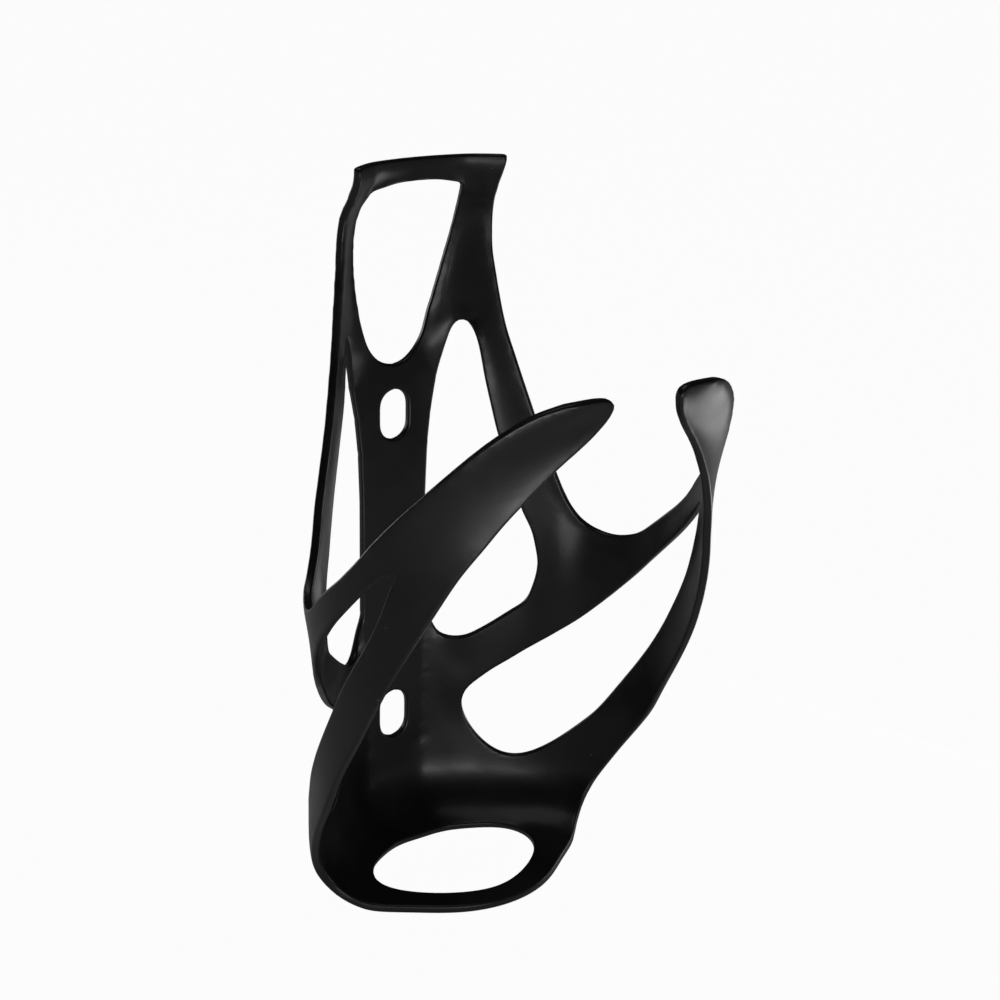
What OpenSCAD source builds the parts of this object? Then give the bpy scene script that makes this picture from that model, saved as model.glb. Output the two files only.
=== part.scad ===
// Bicycle bottle cage: one thin moulded shell, built from the members that it is laid up from.
// X is across the cage, +Y points to the bicycle frame, +Z is up along the bottle.
// The origin is the middle of the two bolt slots, on the face that lies against the frame.

/* [Bottle] */
// Diameter of the bottle that the cage holds
bottle_d = 74; // [60:1:90]
// Gap from the back plate to a bottle that is centred in the cage (the struts stand
// nearer to it, so the seated bottle leaves the bolt heads their room)
bolt_room = 0.5; // [0.3:0.1:2]

/* [Shell] */
// Height of the cage over all
cage_h = 140; // [130:1:170]
// Thickness of the moulded wall
wall_t = 1.6; // [1.2:0.1:2.4]
// Height of the cup at the bottom
cup_h = 13.2; // [11:0.2:17]
// Radius inside the cup, where its wall turns into the floor
cup_fillet = 11.2; // [8:0.2:15]

/* [Back plate] */
// Width of the back plate between the side windows
plate_w = 15; // [12:0.5:18]
// Thickness of the back plate
plate_t = 1.6; // [1.2:0.1:2.8]
// Distance between the two bolt slots
slot_spacing = 64; // [55:1:78]
// Height of the lower slot above the bottom of the cage
slot_low = 24.5; // [22:0.5:32]
// Width of a bolt slot
slot_w = 6.6; // [5.2:0.2:8]
// Length of a bolt slot
slot_len = 10.2; // [8:0.1:13]

/* [Spring arms] */
// Clearance of a spring arm where it flexes
flex_gap = 0.2; // [0.1:0.05:0.4]

/* [Hidden] */
carbon = "#1c1c1e";
bottle_r = bottle_d / 2;
plate_in = bottle_r + bolt_room;
plate_out = plate_in + plate_t;
slot_high = slot_low + slot_spacing;
slot_mid = slot_low + slot_spacing / 2;
fillet = min(cup_fillet, cup_h - wall_t - 0.4);
steps = 3;
rows = 6;
slot_facets = 48;

// The shell is drawn on an unrolled sheet. A point there is [angle, level, stand_off]:
// the angle goes round from the back, the level goes up the sheet, and the stand-off
// is from the bottle to the inner face. These levels lie at the real heights beside them.
level_cup = 14;
level_slot_low = 25;
level_slot_high = 89;
level_top = 140;
levels = [
  [0, 0], [level_cup, cup_h], [level_slot_low, slot_low],
  [level_slot_high, slot_high], [level_top, cage_h]
];
function height(level) = lookup(level, levels);

// Angles where the side of the plate and the flexing line of a spring arm lie
plate_a = atan(plate_w / 2 / plate_in);
plate_off = plate_in / cos(plate_a) - bottle_r;
flex_a = 52;
gap_a = flex_gap / bottle_r * 180 / PI;

// The wall is thickened straight back beside the plate, and square to the bottle further round
square_a = 26;
function back_a(a) = a * min(1, max(0, (a - plate_a) / (square_a - plate_a)));
function outward(a) = let(b = sign(a) * back_a(abs(a))) [sin(b), cos(b), 0];
function on_sheet(p, thick) =
  let(r = bottle_r + p[2])
  [r * sin(p[0]), r * cos(p[0]), height(p[1])] + thick * outward(p[0]);

// A smooth curve through hand-placed points
function knot(p, i) = p[max(0, min(len(p) - 1, i))];
function bend(p, i, t) =
  let(a = knot(p, i - 1), b = knot(p, i), c = knot(p, i + 1), d = knot(p, i + 2))
  b + (c - a) * t / 2 + (2 * a - 5 * b + 4 * c - d) * t * t / 2
    + (3 * b - a - 3 * c + d) * t * t * t / 2;
function curve(p) = [
  for (i = [0 : len(p) - 2]) for (k = [0 : steps - 1]) bend(p, i, k / steps),
  p[len(p) - 1]
];
// Curves joined end to end, where the shell's edge has a corner
function chain(curves) = [
  for (i = [0 : len(curves) - 1]) let(c = curve(curves[i]))
    for (k = [0 : len(c) - (i < len(curves) - 1 ? 2 : 1)]) c[k]
];

// Point between two points of the sheet
function between(a, b, t, curl) = [
  a[0] + (b[0] - a[0]) * t, a[1] + (b[1] - a[1]) * t, a[2] + (b[2] - a[2]) * pow(t, curl)
];

// Closed shell from a grid of inner points and the same grid of outer points
module shell(inner, outer) {
  n = len(inner);
  m = len(inner[0]);
  last = n * m;
  function at(i, j) = i * m + j;
  faces = [
    for (i = [0 : n - 2]) for (j = [0 : m - 2]) each [
      [at(i, j), at(i + 1, j), at(i + 1, j + 1)],
      [at(i, j), at(i + 1, j + 1), at(i, j + 1)],
      [last + at(i, j), last + at(i + 1, j + 1), last + at(i + 1, j)],
      [last + at(i, j), last + at(i, j + 1), last + at(i + 1, j + 1)]
    ],
    for (i = [0 : n - 2]) each [
      [at(i, 0), last + at(i, 0), last + at(i + 1, 0)],
      [at(i, 0), last + at(i + 1, 0), at(i + 1, 0)],
      [at(i, m - 1), last + at(i + 1, m - 1), last + at(i, m - 1)],
      [at(i, m - 1), at(i + 1, m - 1), last + at(i + 1, m - 1)]
    ],
    for (j = [0 : m - 2]) each [
      [at(0, j), last + at(0, j + 1), last + at(0, j)],
      [at(0, j), at(0, j + 1), last + at(0, j + 1)],
      [at(n - 1, j), last + at(n - 1, j), last + at(n - 1, j + 1)],
      [at(n - 1, j), last + at(n - 1, j + 1), at(n - 1, j + 1)]
    ]
  ];
  polyhedron([for (row = inner) each row, for (row = outer) each row], faces);
}

// Member of the shell between two edges of the sheet. With a curl above 1 it leans out
// late, near its second edge.
module member(edge_a, edge_b, curl = 1, rows = rows) {
  function across(i, j) = between(edge_a[i], edge_b[i], j / rows, curl);
  color(carbon) shell(
    [for (i = [0 : len(edge_a) - 1]) [for (j = [0 : rows]) on_sheet(across(i, j), 0)]],
    [for (i = [0 : len(edge_a) - 1]) [for (j = [0 : rows]) on_sheet(across(i, j), wall_t)]]
  );
}

module placed() translate([0, -plate_out, -slot_mid]) children();
module right() placed() children();
module left() placed() mirror([1, 0, 0]) children();

// Back plate: flat, with two upright slots, and wider at its top where the legs start
plate_top = 99;
leg_a = 16;
leg_off = bolt_room + 1.3;
module slot(z) translate([0, 0, z]) {
  reach = slot_len / 2 - slot_w / 2;
  for (s = [-1, 1])
    translate([0, plate_in - plate_t, s * reach])
      rotate([-90, 0, 0]) cylinder(d = slot_w, h = 3 * plate_t, $fn = slot_facets);
  translate([-slot_w / 2, plate_in - plate_t, -reach]) cube([slot_w, 3 * plate_t, 2 * reach]);
}
module back_plate() {
  half = plate_w / 2;
  top_half = (bottle_r + leg_off) * sin(leg_a);
  growth = top_half - half;
  side = [
    [half, height(level_cup)], [half, height(72)], [half + growth * 0.12, height(82)],
    [half + growth * 0.35, height(89)], [half + growth * 0.7, height(95)],
    [top_half, height(plate_top)]
  ];
  outline = [for (p = side) p, for (i = [len(side) - 1 : -1 : 0]) [-side[i][0], side[i][1]]];
  color(carbon) difference() {
    translate([0, plate_out, 0]) rotate([90, 0, 0]) linear_extrude(plate_t) polygon(outline);
    slot(slot_low);
    slot(slot_high);
  }
}

// Lip that hooks inward over the bottle's groove
module top_lip() {
  low_half = [[0, 135.7, -6.8], [9, 135.5, -6.4], [14.5, 135, -5.8], [19, 134.5, -5.0]];
  low_end = [[19, 134.5, -5.0], [25, 134.5, -6.2], [31.5, 134.5, -6.7]];
  top_half = [[0, 140, -8.4], [10, 140, -8.4], [18, 140, -8.4], [24, 140, -8.5]];
  top_end = [[24, 140, -8.5], [30, 140, -8.6], [34.4, 140, -8.6]];
  low = chain([low_half, low_end]);
  top = chain([top_half, top_end]);
  function both(p) = [
    for (i = [len(p) - 1 : -1 : 1]) [-p[i][0], p[i][1], p[i][2]],
    each p
  ];
  member(both(top), both(low));
}

// Leg from the top of the plate up to the lip, along the middle window
module leg() {
  inner_low = [[0, 99, bolt_room], [4, 99.6, 0.9], [7.2, 101.3, 1.5], [9.5, 103.6, 1.9], [10.8, 106, 2.1]];
  inner_high = [
    [10.8, 106, 2.1], [11.8, 108.5, 2.1], [13.1, 111.5, 2.0], [14.6, 115.3, 1.8], [16.1, 119.5, 1.3],
    [17.6, 124, 0.3], [18.6, 128, -0.9], [19.1, 131.5, -2.6], [19, 134.5, -5.0]
  ];
  outer_low = [
    [leg_a, plate_top, leg_off], [16.9, 101.3, 0.9], [18, 103.8, 0.3], [19.6, 106.3, -0.4],
    [22.3, 107.4, -1.2]
  ];
  outer_cut = [
    [22.3, 107.4, -1.2], [34, 108.5, -4.0], [32.3, 113.5, -4.0], [31.3, 117, -4.0], [30.2, 120.8, -4.0],
    [29.9, 124.6, -4.0], [29.9, 128.4, -4.2], [30.5, 132.2, -5.0], [31.5, 134.5, -6.7]
  ];
  cut = [[22.3, 107.4, -1.2], [34, 108.5, -4.0]];
  outer_high = [for (i = [1 : len(outer_cut) - 1]) outer_cut[i]];
  member(
    chain([inner_low, [inner_high[0], inner_high[1]], [for (i = [1 : len(inner_high) - 1]) inner_high[i]]]),
    chain([outer_low, cut, outer_high])
  );
}

// Side strut from the leg down to the bend beside the spring arm
window_right = [47.4, 58, -3.2];
strut_end = [flex_a, 58, -3.0];
outer_end = [flex_a, 77.7, -2.8];
module strut() {
  window = [
    [22.3, 107.4, -1.2], [24.4, 105.7, -1.9], [26.4, 102, -2.4], [28.5, 95.4, -2.8], [30.5, 90.3, -2.8],
    [32.7, 84.9, -2.8], [36, 78.5, -2.9], [41.3, 68.9, -3.1], [45.1, 64.1, -3.3], window_right
  ];
  outer = [
    [34, 108.5, -4.0], [35.3, 105.5, -4.1], [37.3, 102, -4.1], [40.4, 96.7, -4.2], [43.2, 92, -4.1],
    [45.6, 87.9, -3.9], [47.5, 84.9, -3.6], [49.1, 82.4, -3.3], [50.3, 80.4, -3.0], [51.2, 79, -2.9]
  ];
  member(
    chain([window, [window_right, strut_end]]),
    chain([outer, [[51.2, 79, -2.9], outer_end]])
  );
}

// Bridge from the plate round to the spring arm, between the two side windows
bridge_end = [flex_a, 41.7, -3.7];
module bridge() {
  beside_plate = [for (z = [18, 21, 24, 25]) [plate_a, z, plate_off]];
  beside_window = [for (z = [25, 28, 31, 35, 40, 44, 47.5]) [plate_a, z, plate_off]];
  window = [
    [plate_a, 47.5, plate_off], [13, 45.2, 1.2], [14.2, 43, 0.9], [15.9, 41.1, 0.2], [18.8, 40.3, -1],
    [23, 40.6, -2], [27.4, 42, -2.6], [33, 44.2, -2.9], [38.6, 46.7, -3], [43.1, 48.8, -3],
    [45.3, 51.6, -3], [47, 55.3, -3.1], window_right
  ];
  bottom = [for (a = [plate_a, 19, 28, 36]) [a, level_cup, cup_off(a)]];
  lower_end = [
    [36, level_cup, cup_off(36)], [32.7, 15.2, -2.7], [29.9, 16.7, -2.5], [26.6, 19, -2.2],
    [24, 21.7, -1.9], [22.7, 24, -1.9], [22.3, 25.8, -1.9]
  ];
  lower = [
    [22.3, 25.8, -1.9], [22.6, 27.1, -1.9], [23.7, 28.5, -2], [25.4, 29.8, -2.1], [28, 31, -2.3],
    [31.1, 32.7, -2.6], [34.5, 34.2, -2.7], [38, 35.6, -2.8], [42.9, 37.8, -3.2], [46.5, 39.4, -3.5],
    [48.5, 40.2, -3.6], [50, 40.9, -3.7], [51, 41.3, -3.7]
  ];
  member(
    chain([beside_plate, beside_window, window, [window_right, strut_end]]),
    chain([bottom, lower_end, lower, [[51, 41.3, -3.7], bridge_end]])
  );
}

// Where the upper band and the lower band grow together into the tab
join_top = [108, 84.1, 1.5];
join_front = [125.5, 73.3, -0.9];
arm_curl = 2.2;
join_share = 0.6;
join_window = between(join_front, join_top, join_share, arm_curl);
join_rows = 10;

// Upper band of a spring arm, from the flexing line up to the tab
module upper_band() {
  flex_start = flex_a + gap_a;
  window = [
    [flex_start, 41.7, -3.7], [56, 43.5, -3.6], [60, 45.3, -3.4], [65, 47.8, -2.9], [72, 52, -1.9],
    [79.3, 56.9, -0.6], [85.9, 61.8, 0.1], [92, 66.1, 0.5], [98.5, 70.4, 0.5], [105.6, 75.2, 0.4],
    [111, 78.5, 0.1], join_window
  ];
  outer = [
    [flex_start, 77.7, -2.8], [56.4, 71.4, -2], [61.3, 67.1, -1], [66.5, 65.4, -0.6], [73, 65, -0.2],
    [80, 66.5, 0.4], [86, 69.7, 0.8], [91.5, 72.9, 1.1], [97, 76, 1.4], [102, 79.4, 1.5],
    [105.5, 82.1, 1.5], join_top
  ];
  member(curve(window), curve(outer), 1.6, join_rows * (1 - join_share));
}

// Lower band of a spring arm, from the cup up to the tab
module lower_band() {
  band_start = level_cup + flex_gap;
  window = [
    [44, band_start, cup_off(44)], [50, 16.2, -2.7], [55.3, 18.4, -2.4], [62, 22.3, -2],
    [68.4, 26.3, -1.6], [77, 34.1, -0.6], [86.1, 42.8, 0.3], [92.5, 49.7, 0.6], [97, 55.2, 0.8],
    [101.5, 60.4, 0.7], [105.5, 65, 0.4], [109.5, 70.6, 0.2], [112.8, 76.4, 0.1], join_window
  ];
  front = [
    [72.3, band_start, cup_off(72.3)], [76.2, 18.3, -0.5], [80.1, 21.8, -0.1], [84, 25.3, 0.2],
    [88.5, 29.7, 0.3], [94.2, 36.9, 0.4], [102.6, 46.1, 0.2], [108, 52.6, 0.4], [112, 57.7, 0.3],
    [115, 61.3, 0.1], [118, 64.8, -0.1], [120.9, 68.1, -0.4], [123.5, 71.1, -0.7], join_front
  ];
  member(curve(window), curve(front), 1, join_rows * join_share);
}

// Free end of a spring arm, leaning out at its top to guide the bottle in
module tab() {
  front = [
    join_front, [129, 77.2, -1.1], [133, 81.2, -1.2], [138, 85.5, -1.4], [143, 89.8, -1.5],
    [148, 93.5, -1.6], [153, 97.1, -1.6], [158, 100.2, -1.5], [162, 102.5, -1.2], [165.3, 104.7, -0.8],
    [167.8, 106.8, -0.3], [169.4, 108.8, 0.4]
  ];
  top = [
    join_top, [115, 89.2, 1.4], [122, 93.9, 1.5], [129.5, 98.8, 2.0], [137, 103.5, 2.6],
    [144, 107.2, 3.1], [150, 109.6, 3.5], [156, 111, 3.7], [161, 111.4, 3.4], [165, 111.4, 2.6],
    [168.2, 111.1, 1.7], [169.8, 110.2, 1.0]
  ];
  member(curve(front), curve(top), arm_curl, join_rows);
}

// Cup at the bottom: the wall turns in through a fillet down to the floor
cup_columns = 24;
cup_rows = 6;
cup_wall = [
  [0, bolt_room], [plate_a, plate_off], [19, -1], [28, -2.3], [37, -2.9], [44, -2.9], [55, -2.4],
  [68, -1.6], [72.3, -1.0]
];
function cup_off(a) =
  abs(a) < plate_a ? plate_in / cos(a) - bottle_r : lookup(abs(a), cup_wall);
// Distance in from the wall to the floor window, by angle from the back
window_margin = [
  [0, 10.6], [12, 10.3], [18, 9.5], [28, 8.5], [37, 8.1], [43, 8.5], [49, 9.7], [53, 12]
];
// Angle where the cup ends at the front, by how far the fillet has turned
cup_ends = [[0, 71.8], [11, 69], [28, 67], [49, 66.5], [64, 68.6], [78, 71.4], [90, 73.6]];
floor_a = 53;
floor_end = 73.6;
function turn_end(s) =
  let(a = abs(s) * floor_end)
  a >= floor_a ? 90 : acos(1 - min(fillet, lookup(a, window_margin)) / fillet);
function cup_point(s, j, thick) =
  let(turn = j == 0 ? 0 : turn_end(s) * (j - 1) / cup_rows)
  let(a = s * (j == 0 ? 72.3 : lookup(turn, cup_ends)))
  let(r = bottle_r + cup_off(a) - fillet * (1 - cos(turn)))
  let(z = j == 0 ? cup_h : wall_t + fillet * (1 - sin(turn)))
  [r * sin(a), r * cos(a), z] + thick * (cos(turn) * outward(a) - [0, 0, sin(turn)]);
module base_cup() {
  function side(thick) = [
    for (k = [-cup_columns : cup_columns])
      [for (j = [cup_rows + 1 : -1 : 0]) cup_point(k / cup_columns, j, thick)]
  ];
  color(carbon) shell(side(0), side(wall_t));
}

// Toe of the floor: the flat front of the cup, round the front of the floor window
module floor_toe() {
  first = ceil(floor_a / floor_end * cup_columns);
  seam = [for (k = [first : cup_columns]) let(p = cup_point(k / cup_columns, cup_rows + 1, 0)) [p[0], p[1]]];
  share = bottle_d / 74;
  front = curve([for (p = [[20, 5], [15, 1], [10, -2.2], [5, -3.9], [0, -4.5]]) p * share]);
  rim_start = seam[0];
  rim_front = 0.4 * share;
  rim_power = 2 / 1.5;
  rim = [
    for (t = [5 : 5 : 85])
      [rim_start[0] * pow(cos(t), rim_power),
       rim_start[1] - (rim_start[1] - rim_front) * pow(sin(t), rim_power)]
  ];
  half = [for (p = seam) p, for (p = front) p];
  outline = [
    each half,
    for (i = [len(half) - 2 : -1 : 0]) [-half[i][0], half[i][1]],
    for (p = rim) [-p[0], p[1]],
    [0, rim_front],
    for (i = [len(rim) - 1 : -1 : 0]) rim[i]
  ];
  color(carbon) linear_extrude(wall_t) polygon(outline);
}

placed() back_plate();
placed() top_lip();
placed() base_cup();
placed() floor_toe();
left() leg();  // left_leg
left() strut();  // left_strut
left() bridge();  // left_bridge
left() upper_band();  // left_upper_band
left() lower_band();  // left_lower_band
left() tab();  // left_tab
right() leg();  // right_leg
right() strut();  // right_strut
right() bridge();  // right_bridge
right() upper_band();  // right_upper_band
right() lower_band();  // right_lower_band
right() tab();  // right_tab
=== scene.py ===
"""Looks of a moulded bottle cage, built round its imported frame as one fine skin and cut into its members."""

import math

import bpy
import numpy as np
from mathutils import Matrix, Vector
from mathutils.geometry import delaunay_2d_cdt


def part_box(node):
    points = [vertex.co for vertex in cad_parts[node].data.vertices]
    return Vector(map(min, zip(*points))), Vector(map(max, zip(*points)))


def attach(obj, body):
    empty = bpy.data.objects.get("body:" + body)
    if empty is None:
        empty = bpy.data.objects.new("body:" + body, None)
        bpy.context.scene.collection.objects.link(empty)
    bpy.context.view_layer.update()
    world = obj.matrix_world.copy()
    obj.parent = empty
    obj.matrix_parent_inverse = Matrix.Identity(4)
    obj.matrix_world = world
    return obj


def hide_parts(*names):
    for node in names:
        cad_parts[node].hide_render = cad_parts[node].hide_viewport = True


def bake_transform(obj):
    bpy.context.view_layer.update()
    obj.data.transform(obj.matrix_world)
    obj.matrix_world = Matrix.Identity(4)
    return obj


bl_info = {
    "name": "Moulded Bottle Cage",
    "version": (1, 0, 0),
    "blender": (4, 5, 0),
    "location": "3D View > Sidebar > Bottle Cage",
    "description": "Builds the skin, the finish and the stage of a moulded bottle cage",
    "category": "Object",
}

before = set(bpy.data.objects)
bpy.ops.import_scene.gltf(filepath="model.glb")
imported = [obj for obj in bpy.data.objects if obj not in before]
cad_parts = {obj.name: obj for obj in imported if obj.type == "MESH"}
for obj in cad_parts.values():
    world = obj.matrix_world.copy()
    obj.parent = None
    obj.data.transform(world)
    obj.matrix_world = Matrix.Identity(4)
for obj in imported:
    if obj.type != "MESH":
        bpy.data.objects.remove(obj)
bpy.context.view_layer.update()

# ---------------------------------------------------------------- sizes of the mould, in millimetres
BOTTLE_R = 37.0
PLATE_GAP = 0.5
PLATE_IN = BOTTLE_R + PLATE_GAP
PLATE_LOW, PLATE_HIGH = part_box("back_plate")
PLATE_HALF = 7.5
WALL = 1000 * (PLATE_HIGH.y - PLATE_LOW.y)
PLATE_OUT = PLATE_IN + WALL
CAGE_LOW = 1000 * min(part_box("base_cup")[0].z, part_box("floor_toe")[0].z)
SLOT_MID = -CAGE_LOW
SLOT_HALF_PITCH = 32.0
SLOT_R = 3.3
SLOT_REACH = 1.8
CUP_H = 1000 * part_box("base_cup")[1].z - CAGE_LOW
FILLET = 11.2
PLATE_A = math.degrees(math.atan(PLATE_HALF / PLATE_IN))
PLATE_OFF = PLATE_IN / math.cos(math.radians(PLATE_A)) - BOTTLE_R
PLATE_TOP = 99.0
LEG_A = 16.0
FLEX_A = 52.0
LEVEL_CUP = 14.0
LOW_SLOT = 25
HIGH_SLOT = 89
LEVEL_TOP = 140
CUP_FRONT_A = 72.3
SIDE_WINDOW_A = (36, 44)

# Each level of the sheet and its height. A level keeps its number when the slots or the cup move
LEVELS = (
    (0, 0), (LEVEL_CUP, CUP_H), (LOW_SLOT, SLOT_MID - SLOT_HALF_PITCH),
    (HIGH_SLOT, SLOT_MID + SLOT_HALF_PITCH), (LEVEL_TOP, 140),
)
MM_PER_DEGREE = math.radians(BOTTLE_R)
ARC_LENGTH = FILLET * math.pi / 2
WALL_DROP = CUP_H - WALL - FILLET
SEAM_LEVEL = LEVEL_CUP - WALL_DROP - ARC_LENGTH

# The plate reaches no further round the bottle than this angle, and its stand-off is exact up to this level
PLATE_LIMIT_A = 17
PLATE_HELD = 96

# Rounds of smoothing of the stand-off, and of the cup's creases and rims
OFF_TURNS = 14
CUP_TURNS = 30

# The cup's softening fades out over SOFT_SPAN below SOFT_TOP. The plate, within the KEEP sizes, stays as it is
SOFT_TOP = 32
SOFT_SPAN = 14
KEEP_HALF = 8
KEEP_BACK = 30
KEEP_ABOVE = 17

# Where the bands bend: radius of the bend's axis, length of the bend, and its height on the lower band
BEND_R = 35.9
BEND_LENGTH = 14
LOW_BEND_TOP = 38

# Steps round a slot, as a share of the mesh's pitch
SLOT_FINENESS = 0.7

# Distance from the bottle to the wall of the cup, by angle from the back
CUP_WALL = ((0, PLATE_GAP), (PLATE_A, PLATE_OFF), (19, -1), (28, -2.3), (37, -2.9), (44, -2.9), (55, -2.4),
            (68, -1.6), (CUP_FRONT_A, -1.0))
WINDOW_MARGIN = ((0, 10.6), (12, 10.3), (18, 9.5), (28, 8.5), (37, 8.1), (43, 8.5), (49, 9.7), (53, 12))
CUP_ENDS = ((0, 71.8), (11, 69), (28, 67), (49, 66.5), (64, 68.6), (78, 71.4), (90, 73.6))
FLOOR_A = 53.0
FLOOR_END = 73.6


def lookup(value, table):
    """Value of a table of pairs at a place between its entries."""
    return float(np.interp(value, [t[0] for t in table], [t[1] for t in table]))


def cup_off(a):
    """Stand-off of the cup's wall at an angle from the back."""
    if abs(a) < PLATE_A:
        return PLATE_IN / math.cos(math.radians(a)) - BOTTLE_R
    return lookup(abs(a), CUP_WALL)


# ---------------------------------------------------------------- edges, as angle, level and stand-off
LIP_LOW = [(0, 135.7, -6.8), (9, 135.5, -6.4), (14.5, 135, -5.8), (19, 134.5, -5.0)]
LIP_LOW_END = [(19, 134.5, -5.0), (25, 134.5, -6.2), (31.5, 134.5, -6.7)]
LIP_TOP = [(a, LEVEL_TOP, off) for a, off in (
    (0, -8.4), (10, -8.4), (18, -8.4), (24, -8.5), (30, -8.6), (34.4, -8.6))]
LEG_INNER = [
    (0, 99, 0.5), (4, 99.6, 0.9), (7.2, 101.3, 1.5), (9.5, 103.6, 1.9), (10.8, 106, 2.1),
    (11.8, 108.5, 2.1), (13.1, 111.5, 2.0), (14.6, 115.3, 1.8), (16.1, 119.5, 1.3), (17.6, 124, 0.3),
    (18.6, 128, -0.9), (19.1, 131.5, -2.6), (19, 134.5, -5.0),
]
LEG_OUTER_LOW = [
    (LEG_A, 99, 1.8), (16.9, 101.3, 0.9), (18, 103.8, 0.3), (19.6, 106.3, -0.4), (22.3, 107.4, -1.2),
]
LEG_CUT = [(22.3, 107.4, -1.2), (34, 108.5, -4.0)]
LEG_OUTER = [
    (34, 108.5, -4.0), (32.3, 113.5, -4.0), (31.3, 117, -4.0), (30.2, 120.8, -4.0), (29.9, 124.6, -4.0),
    (29.9, 128.4, -4.2), (30.5, 132.2, -5.0), (31.5, 134.5, -6.7),
]
WINDOW_RIGHT = (47.4, 58, -3.2)
STRUT_END = (FLEX_A, 58, -3.0)
OUTER_END = (FLEX_A, 77.7, -2.8)
STRUT_WINDOW = [
    (22.3, 107.4, -1.2), (24.4, 105.7, -1.9), (26.4, 102, -2.4), (28.5, 95.4, -2.8), (30.5, 90.3, -2.8),
    (32.7, 84.9, -2.8), (36, 78.5, -2.9), (41.3, 68.9, -3.1), (45.1, 64.1, -3.3), WINDOW_RIGHT,
]
STRUT_OUTER = [
    (34, 108.5, -4.0), (35.3, 105.5, -4.1), (37.3, 102, -4.1), (40.4, 96.7, -4.2), (43.2, 92, -4.1),
    (45.6, 87.9, -3.9), (47.5, 84.9, -3.6), (49.1, 82.4, -3.3), (50.3, 80.4, -3.0), (51.2, 79, -2.9),
    OUTER_END,
]
BRIDGE_WINDOW = [
    (PLATE_A, 47.5, PLATE_OFF), (13, 45.2, 1.2), (14.2, 43, 0.9), (15.9, 41.1, 0.2), (18.8, 40.3, -1),
    (23, 40.6, -2), (27.4, 42, -2.6), (33, 44.2, -2.9), (38.6, 46.7, -3), (43.1, 48.8, -3),
    (45.3, 51.6, -3), (47, 55.3, -3.1), WINDOW_RIGHT,
]
BRIDGE_END = (FLEX_A, 41.7, -3.7)
BRIDGE_LOWER = [
    (SIDE_WINDOW_A[0], LEVEL_CUP, cup_off(SIDE_WINDOW_A[0])), (32.7, 15.2, -2.7), (29.9, 16.7, -2.5),
    (26.6, 19, -2.2), (24, 21.7, -1.9), (22.7, 24, -1.9), (22.3, 25.8, -1.9), (22.6, 27.1, -1.9),
    (23.7, 28.5, -2), (25.4, 29.8, -2.1), (28, 31, -2.3), (31.1, 32.7, -2.6), (34.5, 34.2, -2.7),
    (38, 35.6, -2.8), (42.9, 37.8, -3.2), (46.5, 39.4, -3.5), (48.5, 40.2, -3.6), (50, 40.9, -3.7),
    (51, 41.3, -3.7), BRIDGE_END,
]
JOIN_TOP = (108, 84.1, 1.5)
JOIN_FRONT = (125.5, 73.3, -0.9)


def between(a, b, t, curl=1.0):
    """Place on the way from one point to another, with its stand-off eased by curl."""
    return (a[0] + (b[0] - a[0]) * t, a[1] + (b[1] - a[1]) * t, a[2] + (b[2] - a[2]) * t ** curl)


JOIN_WINDOW = between(JOIN_FRONT, JOIN_TOP, 0.6, 2.2)
UPPER_WINDOW = [
    BRIDGE_END, (56, 43.5, -3.6), (60, 45.3, -3.4), (65, 47.8, -2.9), (72, 52, -1.9), (79.3, 56.9, -0.6),
    (85.9, 61.8, 0.1), (92, 66.1, 0.5), (98.5, 70.4, 0.5), (105.6, 75.2, 0.4), (111, 78.5, 0.1),
    JOIN_WINDOW,
]
UPPER_OUTER = [
    OUTER_END, (56.4, 71.4, -2), (61.3, 67.1, -1), (66.5, 65.4, -0.6), (73, 65, -0.2), (80, 66.5, 0.4),
    (86, 69.7, 0.8), (91.5, 72.9, 1.1), (97, 76, 1.4), (102, 79.4, 1.5), (105.5, 82.1, 1.5), JOIN_TOP,
]
LOWER_WINDOW = [
    (SIDE_WINDOW_A[1], LEVEL_CUP, cup_off(SIDE_WINDOW_A[1])), (50, 16.2, -2.7), (55.3, 18.4, -2.4),
    (62, 22.3, -2), (68.4, 26.3, -1.6), (77, 34.1, -0.6), (86.1, 42.8, 0.3), (92.5, 49.7, 0.6),
    (97, 55.2, 0.8), (101.5, 60.4, 0.7), (105.5, 65, 0.4), (109.5, 70.6, 0.2), (112.8, 76.4, 0.1),
    JOIN_WINDOW,
]
LOWER_FRONT = [
    (CUP_FRONT_A, LEVEL_CUP, cup_off(CUP_FRONT_A)), (76.2, 18.3, -0.5), (80.1, 21.8, -0.1),
    (84, 25.3, 0.2), (88.5, 29.7, 0.3), (94.2, 36.9, 0.4), (102.6, 46.1, 0.2), (108, 52.6, 0.4),
    (112, 57.7, 0.3), (115, 61.3, 0.1), (118, 64.8, -0.1), (120.9, 68.1, -0.4), (123.5, 71.1, -0.7),
    JOIN_FRONT,
]
TAB_FRONT = [
    JOIN_FRONT, (129, 77.2, -1.1), (133, 81.2, -1.2), (138, 85.5, -1.4), (143, 89.8, -1.5),
    (148, 93.5, -1.6), (153, 97.1, -1.6), (158, 100.2, -1.5), (162, 102.5, -1.2), (165.3, 104.7, -0.8),
    (167.8, 106.8, -0.3), (169.4, 108.8, 0.4),
]
TAB_TOP = [
    JOIN_TOP, (115, 89.2, 1.4), (122, 93.9, 1.5), (129.5, 98.8, 2.0), (137, 103.5, 2.6),
    (144, 107.2, 3.1), (150, 109.6, 3.5), (156, 111, 3.7), (161, 111.4, 3.4), (165, 111.4, 2.6),
    (168.2, 111.1, 1.7), (169.8, 110.2, 1.0),
]
TOE_FRONT = [(20, 5), (15, 1), (10, -2.2), (5, -3.9), (0, -4.5)]
TOE_RIM_FRONT = 0.4
PLATE_GROWTH = (BOTTLE_R + 1.8) * math.sin(math.radians(LEG_A)) - PLATE_HALF
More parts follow.
